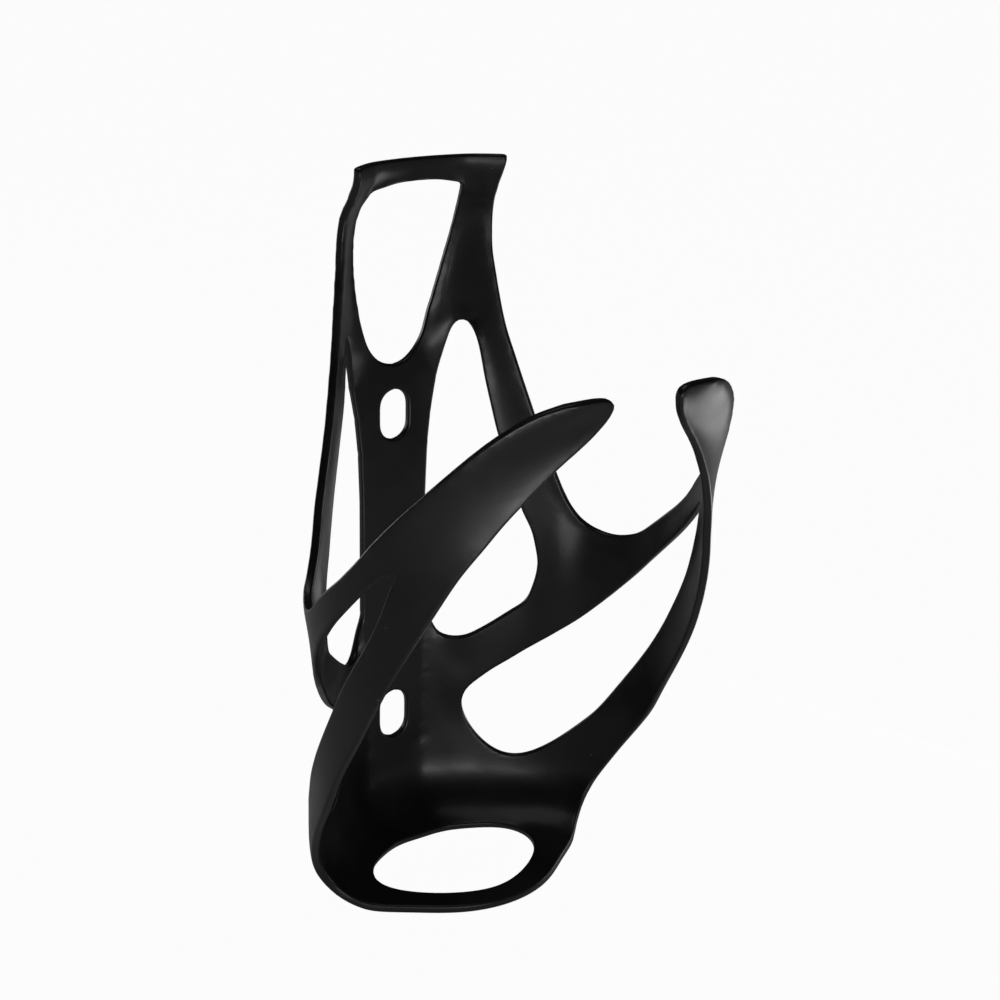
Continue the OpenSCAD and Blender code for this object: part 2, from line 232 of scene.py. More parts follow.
PLATE_SIDE = [(PLATE_HALF + PLATE_GROWTH * share, level) for share, level in (
    (0, LEVEL_CUP), (0, 72), (0.12, 82), (0.35, 89), (0.7, 95), (1, PLATE_TOP))]


def curve(points, steps=10):
    """Smooth curve through the points."""
    p = np.array(points, float)
    out = []
    for i in range(len(p) - 1):
        a, b, c, d = p[max(i - 1, 0)], p[i], p[i + 1], p[min(i + 2, len(p) - 1)]
        for k in range(steps):
            t = k / steps
            out.append(b + (c - a) * t / 2 + (2 * a - 5 * b + 4 * c - d) * t * t / 2
                       + (3 * b - a - 3 * c + d) * t ** 3 / 2)
    out.append(p[-1])
    return np.array(out)


def flat_chart(points):
    """Angle and level turned into millimetres on the unrolled sheet."""
    p = np.array(points, float)
    return np.column_stack([p[:, 0] * MM_PER_DEGREE, p[:, 1]])


def even(points, pitch):
    """The same line with even steps."""
    p = np.array(points, float)
    along = np.concatenate([[0], np.cumsum(np.linalg.norm(np.diff(p, axis=0), axis=1))])
    count = max(2, int(round(along[-1] / pitch)) + 1)
    at = np.linspace(0, along[-1], count)
    return np.column_stack([np.interp(at, along, p[:, k]) for k in range(p.shape[1])])


def line(points, pitch, smooth=True):
    """Edge line on the sheet, with even steps."""
    chart = flat_chart(curve(points) if smooth else points)
    return even(chart, pitch)


def plate_side_chart(pitch, low=LEVEL_CUP, high=PLATE_TOP):
    """Side line of the plate on the sheet."""
    zs = np.linspace(low, high, 60)
    half = np.interp(zs, [p[1] for p in PLATE_SIDE], [p[0] for p in PLATE_SIDE])
    angle = np.degrees(np.arctan(half / PLATE_IN))
    return even(np.column_stack([angle * MM_PER_DEGREE, zs]), pitch)


def slot_chart(centre, pitch):
    """Half of a bolt slot, from its bottom on the middle line round to its top."""
    turns = np.radians(np.linspace(-90, 90, 25))
    pts = [(SLOT_R * math.cos(t), centre + math.copysign(SLOT_REACH, t) + SLOT_R * math.sin(t))
           for t in turns if abs(t) > 1e-6]
    x = np.array([p[0] for p in pts])
    level = np.array([p[1] for p in pts])
    angle = np.degrees(np.arctan(x / PLATE_IN))
    return even(np.column_stack([angle * MM_PER_DEGREE, level]), pitch)


def inside(points, loop):
    """Which points lie inside a closed loop."""
    x, y = points[:, 0], points[:, 1]
    hit = np.zeros(len(points), bool)
    for (x0, y0), (x1, y1) in zip(loop, np.roll(loop, -1, axis=0)):
        if y0 == y1:
            continue
        crosses = (y0 > y) != (y1 > y)
        hit ^= crosses & (x < (x1 - x0) * (y - y0) / (y1 - y0) + x0)
    return hit


def distance_to(points, spots):
    """Distance from each point to the nearest spot."""
    best = np.full(len(points), 1e9)
    for start in range(0, len(spots), 200):
        d = np.linalg.norm(points[:, None, :] - spots[None, start:start + 200, :], axis=2).min(axis=1)
        best = np.minimum(best, d)
    return best


def triangulate(loops, seams, pitch):
    """Fine triangles inside the first loop and outside the others, that never cross a seam."""
    verts, edges, index = [], [], {}

    def add(p):
        key = (round(float(p[0]), 3), round(float(p[1]), 3))
        if key not in index:
            index[key] = len(verts)
            verts.append((float(p[0]), float(p[1])))
        return index[key]

    for loop in loops:
        ids = [add(p) for p in loop]
        edges += [(a, b) for a, b in zip(ids, ids[1:] + ids[:1]) if a != b]
    for seam in seams:
        ids = [add(p) for p in seam]
        edges += [(a, b) for a, b in zip(ids, ids[1:]) if a != b]
    fixed = np.array(verts)
    low, high = fixed.min(axis=0), fixed.max(axis=0)
    rows = np.arange(low[1], high[1], pitch * 0.866)
    grid = []
    for k, y in enumerate(rows):
        xs = np.arange(low[0] + (k % 2) * pitch / 2, high[0], pitch)
        grid.append(np.column_stack([xs, np.full(len(xs), y)]))
    grid = np.concatenate(grid)
    keep = inside(grid, loops[0])
    for loop in loops[1:]:
        keep &= ~inside(grid, loop)
    grid = grid[keep]
    grid = grid[distance_to(grid, fixed) > 0.72 * pitch]
    coords = [Vector(p) for p in verts] + [Vector(p) for p in grid]
    out, _, faces, _, _, _ = delaunay_2d_cdt(coords, edges, [], 0, 1e-5)
    out = np.array([tuple(p) for p in out])
    faces = np.array([f for f in faces if len(f) == 3])
    centres = out[faces].mean(axis=1)
    keep = inside(centres, loops[0])
    for loop in loops[1:]:
        keep &= ~inside(centres, loop)
    faces = faces[keep]
    a, b, c = out[faces[:, 0]], out[faces[:, 1]], out[faces[:, 2]]
    area = (b[:, 0] - a[:, 0]) * (c[:, 1] - a[:, 1]) - (b[:, 1] - a[:, 1]) * (c[:, 0] - a[:, 0])
    faces = faces[np.abs(area) > 1e-6]
    return out, faces


def join_side(a, v):
    """Above zero beyond the line where the bands grow into the tab."""
    run, rise = JOIN_TOP[0] - JOIN_FRONT[0], JOIN_TOP[1] - JOIN_FRONT[1]
    return run * (v - JOIN_FRONT[1]) - rise * (a - JOIN_FRONT[0])


LIP_EDGE = [p[:2] for p in LIP_LOW + LIP_LOW_END[1:]]
LEG_LIMIT_A = 36
LEG_FOOT = 90
LOW_ROOT_A = 40
LOW_ROOT_TOP = 30
ARM_DIVIDE = ((52, 28), (60, 31), (70, 37), (86, 52), (100, 65.5), (115, 79.8), (126, 85))


def member_of(a, v):
    """Name of the member that holds a place on the right half of the sheet."""
    if v < LEVEL_CUP:
        return "base_cup"
    half = lookup(v, [(p[1], p[0]) for p in PLATE_SIDE])
    if v < PLATE_TOP and a < PLATE_LIMIT_A and PLATE_IN * math.tan(math.radians(a)) < half:
        return "back_plate"
    if a < LEG_LIMIT_A and v > lookup(a, LIP_EDGE):
        return "top_lip"
    (cut_a, cut_low, _), (cut_end, cut_high, _) = LEG_CUT
    if a < cut_a and v > LEG_FOOT:
        return "leg"
    if a < LEG_LIMIT_A and v > cut_low + (a - cut_a) * (cut_high - cut_low) / (cut_end - cut_a):
        return "leg"
    if a > LOW_ROOT_A and v < LOW_ROOT_TOP:
        return "lower_band"
    if a < FLEX_A:
        return "strut" if v > STRUT_END[1] else "bridge"
    if join_side(a, v) < 0:
        return "tab"
    return "upper_band" if v > lookup(a, ARM_DIVIDE) else "lower_band"


SAMPLES_ALONG = 160
SAMPLES_ACROSS = 15


def resampled(points, count):
    """The same row of points with another number of them."""
    at, along = np.linspace(0, 1, count), np.linspace(0, 1, len(points))
    return np.column_stack([np.interp(at, along, points[:, k]) for k in range(3)])


def member_samples():
    """Stand-off of every member, sampled over its width and length."""
    pairs = [
        (LIP_LOW + LIP_LOW_END[1:], LIP_TOP, 1.0),
        (LEG_INNER, LEG_OUTER_LOW + LEG_CUT[1:] + LEG_OUTER[1:], 1.0),
        (STRUT_WINDOW, STRUT_OUTER, 1.0),
        (UPPER_WINDOW, UPPER_OUTER, 1.6),
        (LOWER_WINDOW, LOWER_FRONT, 1.0),
        (TAB_FRONT, TAB_TOP, 2.2),
    ]
    out = []
    for first, second, curl in pairs:
        a, b = curve(first, steps=12), curve(second, steps=12)
        a, b = resampled(a, SAMPLES_ALONG), resampled(b, SAMPLES_ALONG)
        for t in np.linspace(0, 1, SAMPLES_ACROSS):
            row = a + (b - a) * t
            row[:, 2] = a[:, 2] + (b[:, 2] - a[:, 2]) * t ** curl
            out.append(row)
    return np.concatenate(out)


def nearest_value(points, samples, near=5):
    """Stand-off at each point from the samples nearest to it."""
    places = flat_chart(samples)
    result = np.zeros(len(points))
    for start in range(0, len(points), 400):
        block = points[start:start + 400]
        d = np.linalg.norm(block[:, None, :] - places[None, :, :], axis=2)
        pick = np.argpartition(d, near, axis=1)[:, :near]
        dd = np.take_along_axis(d, pick, axis=1)
        w = 1 / (dd + 0.05) ** 2
        result[start:start + 400] = (samples[pick, 2] * w).sum(axis=1) / w.sum(axis=1)
    return result


def bridge_samples():
    """Stand-off of a bridge, sampled between its upper and lower edges."""
    upper = [
        [(PLATE_A, z, PLATE_OFF) for z in (18, 21, 24, 25)],
        [(PLATE_A, z, PLATE_OFF) for z in (25, 28, 31, 35, 40, 44, 47.5)],
        BRIDGE_WINDOW,
        [WINDOW_RIGHT, STRUT_END],
    ]
    lower = [
        [(a, LEVEL_CUP, cup_off(a)) for a in (PLATE_A, 19, 28, 36)],
        BRIDGE_LOWER[0:7],
        BRIDGE_LOWER[6:19],
        [BRIDGE_LOWER[18], BRIDGE_END],
    ]
    a = np.concatenate([curve(p, 6) for p in upper])
    b = np.concatenate([curve(p, 6) for p in lower])
    return np.concatenate([a + (b - a) * t for t in np.linspace(0, 1, SAMPLES_ACROSS)])


def middle_line(low, high, pitch):
    """Stretch of the sheet's middle line between two levels."""
    count = max(2, int((high - low) / pitch) + 1)
    return [(0.0, z) for z in np.linspace(low, high, count)]


def right_loops(pitch):
    """Outline, windows and seams of the right half of the sheet."""
    slot_end = SLOT_REACH + SLOT_R
    angles = np.linspace(0, FLOOR_A, 60)
    floor_edge = even([(a * MM_PER_DEGREE, rim_level(a)) for a in angles], pitch)
    seam_ends = [(a * MM_PER_DEGREE, SEAM_LEVEL) for a in (FLOOR_A, FLOOR_END)]
    floor_seam = even(seam_ends, pitch)
    ends = curve([(a, LEVEL_CUP - WALL_DROP - FILLET * math.radians(t), 0) for t, a in CUP_ENDS])
    cup_front = even(flat_chart([(CUP_FRONT_A, LEVEL_CUP, 0)] + list(ends)), pitch)
    outline = joined([
        middle_line(rim_level(0), LOW_SLOT - slot_end, pitch),
        slot_chart(LOW_SLOT, pitch * SLOT_FINENESS),
        middle_line(LOW_SLOT + slot_end, HIGH_SLOT - slot_end, pitch),
        slot_chart(HIGH_SLOT, pitch * SLOT_FINENESS),
        middle_line(HIGH_SLOT + slot_end, PLATE_TOP, pitch),
        line(LEG_INNER, pitch),
        line(LIP_LOW, pitch)[::-1],
        middle_line(LIP_LOW[0][1], LEVEL_TOP, pitch),
        line(LIP_TOP, pitch),
        line([LIP_TOP[-1], LIP_LOW_END[-1]], pitch, smooth=False),
        line(LEG_OUTER, pitch)[::-1],
        line(STRUT_OUTER, pitch),
        line(UPPER_OUTER, pitch),
        line(TAB_TOP, pitch),
        line([TAB_TOP[-1], TAB_FRONT[-1]], pitch, smooth=False),
        line(TAB_FRONT, pitch)[::-1],
        line(LOWER_FRONT, pitch)[::-1],
        cup_front,
        floor_seam[::-1],
        floor_edge[::-1],
    ])
    window = joined([
        plate_side_chart(pitch, BRIDGE_WINDOW[0][1], PLATE_TOP),
        line(LEG_OUTER_LOW, pitch),
        line(STRUT_WINDOW, pitch),
        line(BRIDGE_WINDOW, pitch)[::-1],
    ])
    window_foot = [(a, LEVEL_CUP, 0) for a in reversed(SIDE_WINDOW_A)]
    side_window = joined([
        line(BRIDGE_LOWER, pitch), line(UPPER_WINDOW, pitch), line(LOWER_WINDOW, pitch)[::-1],
        line(window_foot, pitch, smooth=False),
    ])
    loops = [rounded(outline, 2), rounded(window, 2), rounded(side_window, 2)]
    spots = np.concatenate(loops)
    corner = np.array([PLATE_A * MM_PER_DEGREE, LEVEL_CUP])
    seams = [
        [(0, LEVEL_CUP), corner], [corner, (SIDE_WINDOW_A[0], LEVEL_CUP)],
        [(SIDE_WINDOW_A[1], LEVEL_CUP), (CUP_FRONT_A, LEVEL_CUP)], [corner, BRIDGE_WINDOW[0]],
        [(0, PLATE_TOP), (LEG_A, PLATE_TOP)], [LIP_LOW_END[0], LIP_LOW_END[-1]], LEG_CUT,
        [BRIDGE_END, STRUT_END], [STRUT_END, OUTER_END], [WINDOW_RIGHT, STRUT_END],
        [JOIN_FRONT, JOIN_WINDOW], [JOIN_WINDOW, JOIN_TOP],
    ]
    inner = [tuple(np.round(corner, 6)), (round(STRUT_END[0] * MM_PER_DEGREE, 6), float(STRUT_END[1]))]
    lines = []
    for seam in seams:
        ends = []
        for p in seam:
            q = np.array(p) if p is corner else np.array([p[0] * MM_PER_DEGREE, p[1]])
            if min(np.linalg.norm(q - np.array(s)) for s in inner) > 1e-3:
                q = spots[np.argmin(np.linalg.norm(spots - q, axis=1))]
            ends.append(q)
        lines.append(even(ends, pitch))
    return loops, lines


def rim_level(a):
    """Level where the cup ends at the floor window."""
    share = min(1.0, lookup(a, WINDOW_MARGIN) / FILLET)
    return LEVEL_CUP - WALL_DROP - FILLET * math.acos(1 - share)


def joined(parts):
    """One closed loop from lines laid end to end."""
    out = [np.array(parts[0], float)]
    for p in parts[1:]:
        p = np.array(p, float)
        if np.linalg.norm(p[0] - out[-1][-1]) < 0.05:
            p = p[1:]
        out.append(p)
    loop = np.concatenate(out)
    if np.linalg.norm(loop[0] - loop[-1]) < 0.05:
        loop = loop[:-1]
    return loop


def rounded(loop, turns):
    """Small radii in the corners. Places on the middle line and on the floor seam stay."""
    stay = (loop[:, 0] < 1e-6) | (np.abs(loop[:, 1] - SEAM_LEVEL) < 1e-6)
    for _ in range(turns):
        soft = 0.5 * loop + 0.25 * (np.roll(loop, 1, axis=0) + np.roll(loop, -1, axis=0))
        loop = np.where(stay[:, None], loop, soft)
    return loop


def toe_mesh(seam_plan, pitch):
    """Triangles of the flat toe, in plan, whose first edge is the seam with the cup."""
    front = even(np.concatenate([[seam_plan[-1]], curve([(x, y, 0) for x, y in TOE_FRONT])[:, :2]]), pitch)
    start = seam_plan[0]
    turns = np.radians(np.linspace(0, 90, 60))
    power = 2 / 1.5
    rim = np.column_stack([start[0] * np.cos(turns) ** power,
                           start[1] - (start[1] - TOE_RIM_FRONT) * np.sin(turns) ** power])
    rim[-1, 0] = 0.0
    front[-1, 0] = 0.0
    rim = even(rim, pitch)
    middle = even([front[-1], rim[-1]], pitch)
    loop = joined([seam_plan, front, middle, rim[::-1]])
    return triangulate([loop], [], pitch)


def back_angle(a):
    """Direction in which the wall grows: straight back on the plate, outward away from it."""
    return a * np.clip((a - PLATE_A) / (26 - PLATE_A), 0, 1)


def sheet_point(x, v, off):
    """Middle of the wall at a place on the sheet, for arrays."""
    side = np.sign(x)
    a = np.abs(x) / MM_PER_DEGREE
    z_up = np.interp(v, [p[0] for p in LEVELS], [p[1] for p in LEVELS])
    drop = np.clip(LEVEL_CUP - WALL_DROP - v, 0, ARC_LENGTH)
    turn = drop / FILLET
    z = np.where(v >= LEVEL_CUP, z_up, np.where(v > LEVEL_CUP - WALL_DROP, CUP_H - (LEVEL_CUP - v),
                                               WALL + FILLET * (1 - np.sin(turn))))
    r = BOTTLE_R + off - FILLET * (1 - np.cos(turn))
    rad, out = np.radians(a), np.radians(back_angle(a))
    half = WALL / 2
    px = side * (r * np.sin(rad) + half * np.cos(turn) * np.sin(out))
    py = r * np.cos(rad) + half * np.cos(turn) * np.cos(out)
    pz = z - half * np.sin(turn)
    return np.column_stack([px, py, pz])


def mirrored(points, faces):
    """The sheet and its mirror image, welded on the middle line."""
    other = points.copy()
    other[:, 0] *= -1
    index = np.arange(len(points))
    on_line = np.abs(points[:, 0]) < 1e-6
    shift = np.where(on_line, index, -1)
    free = np.flatnonzero(~on_line)
    shift[free] = len(points) + np.arange(len(free))
    return np.concatenate([points, other[free]]), np.concatenate([faces, shift[faces][:, ::-1]])


def smooth_field(value, faces, fixed, turns, factor=0.5):
    """Value at each point drawn towards its neighbours', apart from the fixed ones."""
    count = len(value)
    i = np.concatenate([faces[:, 0], faces[:, 1], faces[:, 2]])
    j = np.concatenate([faces[:, 1], faces[:, 2], faces[:, 0]])
    a, b = np.concatenate([i, j]), np.concatenate([j, i])
    weight = np.bincount(a, minlength=count).astype(float)
    for _ in range(turns):
        mean = np.bincount(a, value[b], count) / np.maximum(weight, 1)
        value = np.where(fixed, value, value + factor * (mean - value))
    return value


def face_normals(points, faces):
    """Normal of each triangle, twice its area long."""
    a, b, c = points[faces[:, 0]], points[faces[:, 1]], points[faces[:, 2]]
    return np.cross(b - a, c - a)


def vertex_normals(points, faces, count):
    """Unit normal at each point."""
    n = face_normals(points, faces)
    out = np.zeros((count, 3))
    for k in range(3):
        np.add.at(out, faces[:, k], n)
    return out / np.maximum(np.linalg.norm(out, axis=1), 1e-12)[:, None]


def sided(names, side):
    """Names of the members on one side. Those on the middle line have no side."""
    return [n if n in ("back_plate", "top_lip", "base_cup") else side + n for n in names]


def build_sheet(pitch):
    """Middle surface of the whole moulding: points in millimetres, triangles and the member of each."""
    loops, seams = right_loops(pitch)
    chart, faces = triangulate(loops, seams, pitch)
    a = chart[:, 0] / MM_PER_DEGREE
    centre = chart[faces].mean(axis=1)
    names = np.array([member_of(x / MM_PER_DEGREE, y) for x, y in centre])
    off = nearest_value(chart, np.concatenate([member_samples(), bridge_samples()]))
    half = np.interp(chart[:, 1], [p[1] for p in PLATE_SIDE], [p[0] for p in PLATE_SIDE])
    on_plate = PLATE_IN * np.tan(np.radians(np.minimum(a, 60))) <= half + 0.02
    on_plate &= (chart[:, 1] <= PLATE_TOP + 0.1) & (a < PLATE_LIMIT_A)
    flat = PLATE_IN / np.cos(np.radians(np.minimum(a, 20))) - BOTTLE_R
    off = np.where(on_plate, flat, off)
    low = chart[:, 1] <= LEVEL_CUP + 1e-6
    off = np.where(low, [cup_off(x) for x in a], off)

    on_seam = (np.abs(chart[:, 1] - SEAM_LEVEL) < 1e-6) & (a > FLOOR_A - 0.01)
    seam_ids = np.flatnonzero(on_seam)
    seam_ids = seam_ids[np.argsort(a[seam_ids])]
    full_chart, full_faces = mirrored(chart, faces)
    full_names = sided(names, "right_") + sided(names, "left_")
    double = np.abs(chart[:, 0]) >= 1e-6
    full_off = np.concatenate([off, off[double]])
    held = on_plate & (chart[:, 1] <= PLATE_HELD)
    pinned = np.concatenate([held, held[double]])
    full_off = smooth_field(full_off, full_faces, pinned, OFF_TURNS)
    points = sheet_point(full_chart[:, 0], full_chart[:, 1], full_off)

    seam_plan = points[seam_ids][:, :2]
    toe, toe_faces = toe_mesh(seam_plan, pitch)
    toe[np.abs(toe[:, 0]) < 1e-4, 0] = 0
    toe, toe_faces = mirrored(toe, toe_faces)
    toe3 = np.column_stack([toe, np.full(len(toe), WALL / 2)])
    faces = np.concatenate([full_faces, toe_faces + len(points)])
    names = full_names + ["floor_toe"] * len(toe_faces)
    points = np.concatenate([points, toe3])
    key = {}
    remap = np.zeros(len(points), int)
    for i, p in enumerate(points):
        k = (round(p[0], 2), round(p[1], 2), round(p[2], 2))
        remap[i] = key.setdefault(k, i)
    used = np.unique(remap)
    order = np.full(len(points), -1)
    order[used] = np.arange(len(used))
    faces = order[remap[faces]]
    good = (faces[:, 0] != faces[:, 1]) & (faces[:, 1] != faces[:, 2]) & (faces[:, 0] != faces[:, 2])
    names = [n for n, g in zip(names, good) if g]
    return relaxed(points[used], faces[good], CUP_TURNS), faces[good], names


def relaxed(points, faces, turns):
    """Softens the creases and rims of the cup. The plate around the bolts and all above the cup stay."""
    edges, owners = np.unique(
        np.sort(np.concatenate([faces[:, [0, 1]], faces[:, [1, 2]], faces[:, [2, 0]]]), axis=1),
        axis=0, return_counts=True)
    on_rim = np.zeros(len(points), bool)
    on_rim[edges[owners == 1].ravel()] = True
    edges = edges[(owners == 1) | ~(on_rim[edges[:, 0]] | on_rim[edges[:, 1]])
                  | (on_rim[edges[:, 0]] != on_rim[edges[:, 1]])]
    one = np.concatenate([edges[:, 0], edges[:, 1]])
    two = np.concatenate([edges[:, 1], edges[:, 0]])
    used = ~on_rim[one] | on_rim[two]
    one, two = one[used], two[used]
    count = np.maximum(np.bincount(one, minlength=len(points)), 1)
    plate = np.abs(points[:, 0]) < KEEP_HALF
    plate &= (points[:, 1] > KEEP_BACK) & (points[:, 2] > KEEP_ABOVE)
    pull = np.where(plate, 0, 0.5 * np.clip((SOFT_TOP - points[:, 2]) / SOFT_SPAN, 0, 1))[:, None]
    for _ in range(turns):
        total = [np.bincount(one, weights=points[two, k], minlength=len(points)) for k in range(3)]
        mean = np.column_stack(total) / count[:, None]
        points = points + pull * (mean - points)
    return points


def consistent(points, faces):
    """All triangles turned so that they face away from the bottle, or down under the floor."""
    pairs = {}
    for f, tri in enumerate(faces):
        for k in range(3):
            e = (tri[k], tri[(k + 1) % 3])
            pairs.setdefault((min(e), max(e)), []).append((f, e[0] < e[1]))
    flip = np.full(len(faces), -1)
    links = [[] for _ in faces]
    for owners in pairs.values():
        if len(owners) == 2:
            (f, s), (g, t) = owners
            links[f].append((g, s == t))
            links[g].append((f, s == t))
    for start in range(len(faces)):
        if flip[start] >= 0:
            continue
        flip[start] = 0
        stack = [start]
        while stack:
            f = stack.pop()
            for g, same in links[f]:
                if flip[g] < 0:
                    flip[g] = flip[f] ^ int(same)
                    stack.append(g)
    faces = faces.copy()
    turned = flip == 1
    faces[turned] = faces[turned][:, ::-1]
    n = face_normals(points, faces)
    c = points[faces].mean(axis=1)
    away = (n[:, 0] * c[:, 0] + n[:, 1] * c[:, 1]) * (c[:, 2] > 20)
    if away.sum() < 0:
        faces = faces[:, ::-1].copy()
    return faces


def thicken(points, faces, names, edge_radius):
    """Closed wall with rounded edges round the middle surface, and the faces of each member."""
    count = len(points)
    normal = vertex_normals(points, faces, count)
    owners = {}
    for f, tri in enumerate(faces):
        for k in range(3):
            i, j = int(tri[k]), int(tri[(k + 1) % 3])
            owners.setdefault((min(i, j), max(i, j)), []).append((f, i, j))
    rim = [o[0] for o in owners.values() if len(o) == 1]
    fn = face_normals(points, faces)
    fn /= np.maximum(np.linalg.norm(fn, axis=1), 1e-12)[:, None]
    side = np.zeros((count, 3))
    for f, i, j in rim:
        d = np.cross(points[j] - points[i], fn[f])
        d /= max(np.linalg.norm(d), 1e-12)
        side[i] += d
        side[j] += d
    ids = sorted({v for _, i, j in rim for v in (i, j)})
    place = {v: k for k, v in enumerate(ids)}
    out = side[ids]
    out -= normal[ids] * (out * normal[ids]).sum(axis=1)[:, None]
    out /= np.maximum(np.linalg.norm(out, axis=1), 1e-12)[:, None]
    base = points.copy()
    base[ids] -= out * edge_radius
    half = WALL / 2
    turns = np.radians([30, 60, 90])
    profile = [(edge_radius * math.sin(t), -half + edge_radius * (1 - math.cos(t))) for t in turns]
    profile += [(u, -w) for u, w in reversed(profile)]
    rings = [base[ids] + out * u + normal[ids] * w for u, w in profile]
    allp = np.concatenate([base - half * normal, base + half * normal] + rings)
    m = len(ids)

    def ring(v, k):
        if k == 0:
            return v
        if k == len(profile) + 1:
            return count + v
        return 2 * count + (k - 1) * m + place[v]

    polys, labels = [], []
    for tri, name in zip(faces.tolist(), names):
        polys.append(tuple(tri[::-1]))
        labels.append(name)
        polys.append(tuple(v + count for v in tri))
        labels.append(name)
    for f, i, j in rim:
        for k in range(len(profile) + 1):
            polys.append((ring(i, k), ring(j, k), ring(j, k + 1), ring(i, k + 1)))
            labels.append(names[f])
    caps = []
    for (i, j), o in owners.items():
        if len(o) == 2 and names[o[0][0]] != names[o[1][0]]:
            for f, p, q in o:
                caps.append(((p, q, count + q, count + p), names[f]))
            for v in (i, j):
                if v in place:
                    loop = tuple(ring(v, k) for k in range(len(profile) + 2))
                    caps.append((loop, names[o[0][0]]))
                    caps.append((loop[::-1], names[o[1][0]]))
    return allp, polys, labels, caps


# The skin, kept here after its first build
SKIN = {}


def moulded_skin(settings):
    """Builds the whole skin once and keeps it for the operators that cut it."""
    if SKIN:
        return SKIN
    points, faces, names = build_sheet(settings.mesh_pitch * 1000)
    faces = consistent(points, faces)
    points, polys, labels, caps = thicken(points, faces, names, settings.edge_radius * 1000)
    tris = np.array([t for p in polys for t in ((p[:3],) if len(p) == 3 else (p[:3], (p[0],) + p[2:]))])
    normals = vertex_normals(points, tris, len(points))
    points = (points - np.array([0, PLATE_OUT, SLOT_MID])) / 1000
    SKIN.update(points=points, normals=normals, polys=polys, labels=labels, caps=caps)
    return SKIN


def cut_member(settings, name, body, mix=None):
    """One member of the skin as its own closed piece, in place of its frame node."""
    skin = moulded_skin(settings)
    polys = [p for p, n in zip(skin["polys"], skin["labels"]) if n == name]
    smooth = len(polys)
    polys += [p for p, n in skin["caps"] if n == name]
    if not smooth:
        raise RuntimeError("the skin holds no member named " + name)
    used = sorted({v for p in polys for v in p})
    place = {v: k for k, v in enumerate(used)}
    mesh = bpy.data.meshes.new(name + "_skin")
    faces = [tuple(place[v] for v in p) for p in polys]
    mesh.from_pydata([tuple(p) for p in skin["points"][used]], [], faces)
    mesh.polygons.foreach_set("use_smooth", [True] * len(polys))
    mesh.normals_split_custom_set_from_vertices([tuple(n) for n in skin["normals"][used]])
    mesh.update()
    piece = bpy.data.objects.new(name + "_skin", mesh)
    bpy.context.scene.collection.objects.link(piece)
    mesh.materials.append(carbon_finish(settings))
    if mix is None:
        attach(piece, body)
    else:
        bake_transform(piece)
    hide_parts(name)
    return piece


# ---------------------------------------------------------------- finish
# Scales of the noise, in repeats to the metre
MOTTLE_SCALE = 70
SATIN_SCALE = 150
SPECK_GROUP_SCALE = 260
SPECK_SCALE = 420
GRAIN_SCALE = 900
MOTTLE_LIGHTER = 1.9
SPECK_COLOUR = (0.12, 0.12, 0.12, 1)


def carbon_finish(settings):
    """Satin black moulded carbon: faint mottling, fine grain and a few pale specks."""
    name = "satin_carbon"
    if name in bpy.data.materials:
        return bpy.data.materials[name]
    mat = bpy.data.materials.new(name)
    mat.use_nodes = True
    tree = mat.node_tree
    nodes, links = tree.nodes, tree.links
    shader = nodes["Principled BSDF"]
    shader.inputs["Metallic"].default_value = 0.0
    shader.inputs["IOR"].default_value = 1.5
    shader.inputs["Coat Weight"].default_value = 0.12
    shader.inputs["Coat Roughness"].default_value = 0.22
    place = nodes.new("ShaderNodeTexCoord")

    def noise(scale, detail, rough=0.5):
        n = nodes.new("ShaderNodeTexNoise")
        n.inputs["Scale"].default_value = scale
        n.inputs["Detail"].default_value = detail
        n.inputs["Roughness"].default_value = rough
        links.new(place.outputs["Object"], n.inputs["Vector"])
        return n

    def ramp(source, stops):
        r = nodes.new("ShaderNodeMapRange")
        r.inputs["From Min"].default_value, r.inputs["From Max"].default_value = stops[0], stops[1]
        r.inputs["To Min"].default_value, r.inputs["To Max"].default_value = stops[2], stops[3]
        links.new(source, r.inputs["Value"])
        return r.outputs["Result"]

    def mix_colour(factor, a, b):
        m = nodes.new("ShaderNodeMix")
        m.data_type = "RGBA"
        links.new(factor, m.inputs["Factor"])
        for socket, value in ((m.inputs["A"], a), (m.inputs["B"], b)):
            if isinstance(value, bpy.types.NodeSocket):
                links.new(value, socket)
            else:
                socket.default_value = value
        return m.outputs["Result"]

    dark = tuple(settings.carbon_colour) + (1,)
    lighter = tuple(c * MOTTLE_LIGHTER for c in settings.carbon_colour) + (1,)
    mottle = ramp(noise(MOTTLE_SCALE, 3).outputs["Fac"], (0.35, 0.7, 0.0, 1.0))
    base = mix_colour(mottle, dark, lighter)
    cells = nodes.new("ShaderNodeTexVoronoi")
    cells.inputs["Scale"].default_value = SPECK_SCALE
    links.new(place.outputs["Object"], cells.inputs["Vector"])
    dot = ramp(cells.outputs["Distance"], (0.07, 0.11, 1.0, 0.0))
    rare = ramp(noise(SPECK_GROUP_SCALE, 1).outputs["Fac"], (0.66, 0.7, 0.0, 1.0))
    both = nodes.new("ShaderNodeMath")
    both.operation = "MULTIPLY"
    links.new(dot, both.inputs[0])
    links.new(rare, both.inputs[1])
    speck = mix_colour(both.outputs[0], base, SPECK_COLOUR)
    links.new(speck, shader.inputs["Base Color"])
    grain = noise(GRAIN_SCALE, 4, 0.6)
    low, high = settings.roughness - 0.05, settings.roughness + 0.07
    links.new(ramp(noise(SATIN_SCALE, 4).outputs["Fac"], (0.3, 0.7, low, high)), shader.inputs["Roughness"])
    bump = nodes.new("ShaderNodeBump")
    bump.inputs["Strength"].default_value = 0.12
    bump.inputs["Distance"].default_value = 0.00012
    links.new(grain.outputs["Fac"], bump.inputs["Height"])
    links.new(bump.outputs["Normal"], shader.inputs["Normal"])
    return mat


